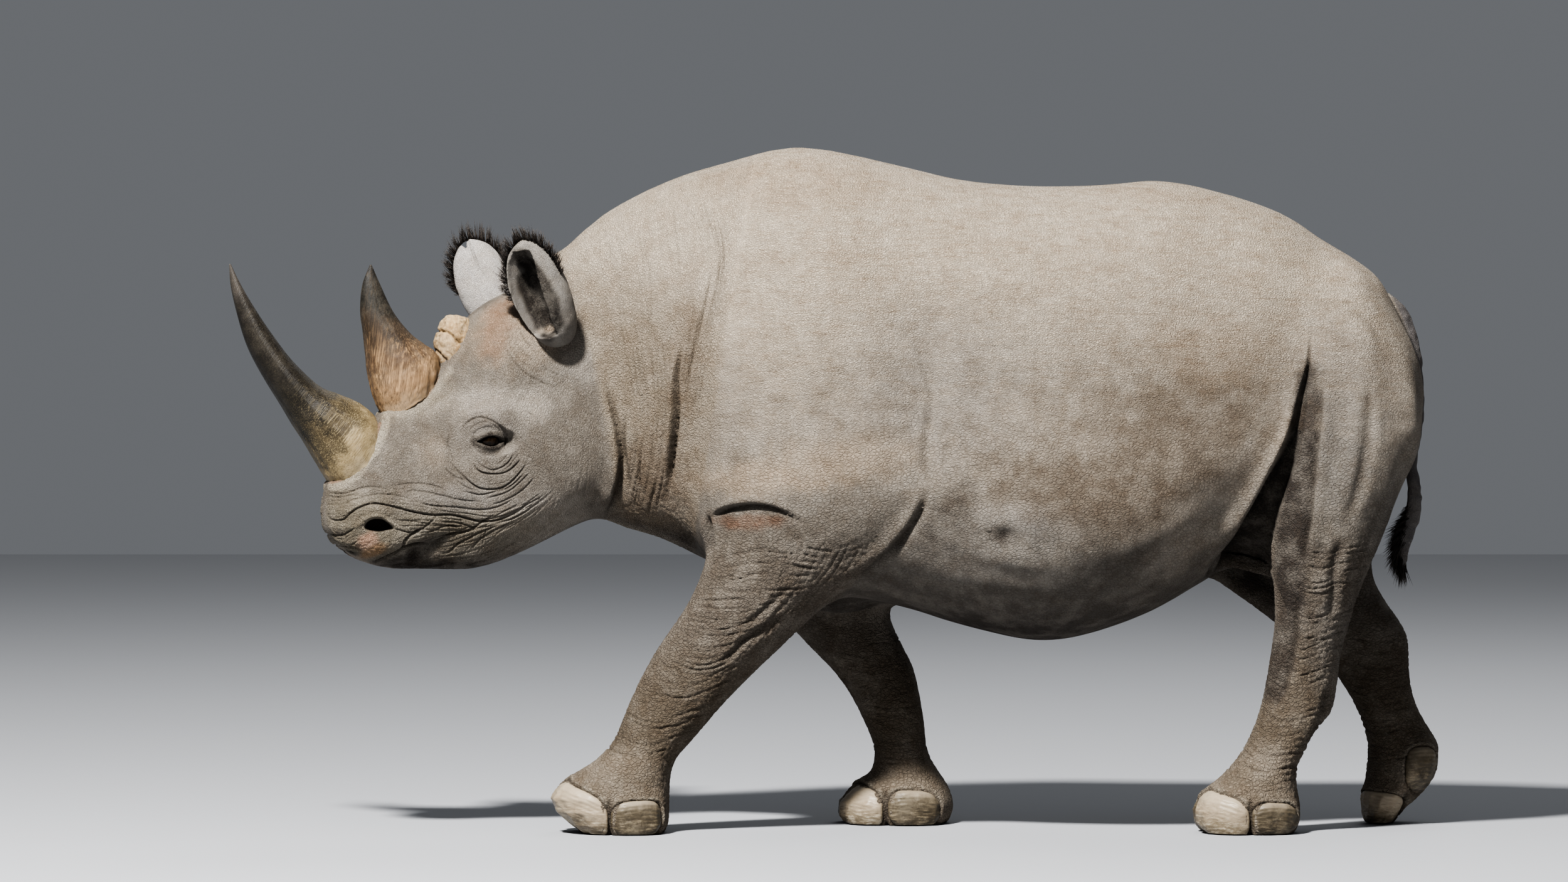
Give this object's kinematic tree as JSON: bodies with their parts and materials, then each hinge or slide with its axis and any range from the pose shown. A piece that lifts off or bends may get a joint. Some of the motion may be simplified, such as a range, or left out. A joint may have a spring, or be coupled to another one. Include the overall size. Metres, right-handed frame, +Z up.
{
  "type": "black rhinoceros",
  "caption": "Life-size black rhinoceros in mid stride, with a hooked upper lip, a long front horn, a shorter rear horn and a stub behind it, for display as a still figure.",
  "frame": {"origin": "on the floor, under the middle of the animal's bounding box", "axes": "+Z up, the animal walks toward -X, its left side toward -Y; millimetre source, metres in the record"},
  "size_m": [2.8148, 0.8606, 1.5849],
  "materials": {
    "hide": "dusty, finely wrinkled grey-beige hide",
    "ear": "smooth grey skin with a black bristle fringe",
    "tail_hair": "dark hide with black bristles at the tip",
    "nail": "worn olive-beige keratin",
    "horn_front": "dark polished keratin, paler and fibrous at the base",
    "horn_rear": "brown keratin, grey at the tip and tan at the base",
    "horn_stub": "rough ochre keratin with a crack",
    "eye": "wet dark brown eye"
  },
  "bodies": {
    "root": {"torso": "hide", "neck": "hide", "head": "hide", "tail": "tail_hair", "front_left_leg": "hide", "front_right_leg": "hide", "hind_left_leg": "hide", "hind_right_leg": "hide", "front_left_nail_middle": "nail", "front_left_nail_nearside": "nail", "front_left_nail_offside": "nail", "front_right_nail_middle": "nail", "front_right_nail_nearside": "nail", "front_right_nail_offside": "nail", "hind_left_nail_middle": "nail", "hind_left_nail_nearside": "nail", "hind_left_nail_offside": "nail", "hind_right_nail_middle": "nail", "hind_right_nail_nearside": "nail", "hind_right_nail_offside": "nail", "ear_left": "ear", "ear_right": "ear", "eye_left": "eye", "eye_right": "eye", "horn_front": "horn_front", "horn_rear": "horn_rear", "horn_stub": "horn_stub"}
  },
  "joints": []
}
